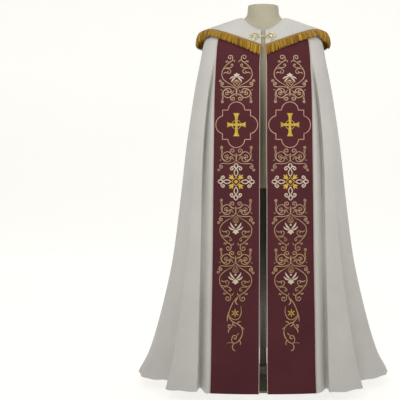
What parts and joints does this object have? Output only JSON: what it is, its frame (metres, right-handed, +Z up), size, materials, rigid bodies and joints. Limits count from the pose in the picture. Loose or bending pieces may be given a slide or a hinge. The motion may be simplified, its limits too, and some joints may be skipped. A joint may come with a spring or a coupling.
{
  "type": "cope on a dress form",
  "caption": "Full-length cream cope open down the front, with burgundy orphreys, a pointed fringed hood and a clasp, resting on a limbless dress form with a pole and a round foot",
  "frame": {"origin": "Centre of the bounding box in X and Y, on the underside of the stand's foot", "axes": "+Z up, -Y towards the open front of the cope, +X to the right as seen from the front"},
  "size_m": [0.9938, 0.6632, 1.492],
  "materials": {
    "cream_cloth": "matte plain weave",
    "burgundy_cloth": "matte close weave",
    "gold_braid": "woven braid with a soft sheen",
    "gold_fringe": "twisted silky threads",
    "clasp_metal": "pale polished gilt",
    "form_cover": "matte jersey cover",
    "stand_enamel": "satin enamel"
  },
  "bodies": {
    "root": {"mantle_front_left": "cream_cloth", "mantle_front_right": "cream_cloth", "mantle_back": "cream_cloth", "orphrey_left": "burgundy_cloth", "orphrey_left_inner_braid": "gold_braid", "orphrey_left_outer_braid": "gold_braid", "orphrey_right": "burgundy_cloth", "orphrey_right_inner_braid": "gold_braid", "orphrey_right_outer_braid": "gold_braid", "hood": "cream_cloth", "hood_orphrey": "burgundy_cloth", "hood_braid_left": "gold_braid", "hood_braid_right": "gold_braid", "fringe_front_left": "gold_fringe", "fringe_front_right": "gold_fringe", "fringe_back_left": "gold_fringe", "fringe_back_right": "gold_fringe", "clasp_left": "clasp_metal", "clasp_right": "clasp_metal", "form_torso": "form_cover", "stand_pole": "stand_enamel", "stand_foot": "stand_enamel"}
  },
  "joints": []
}
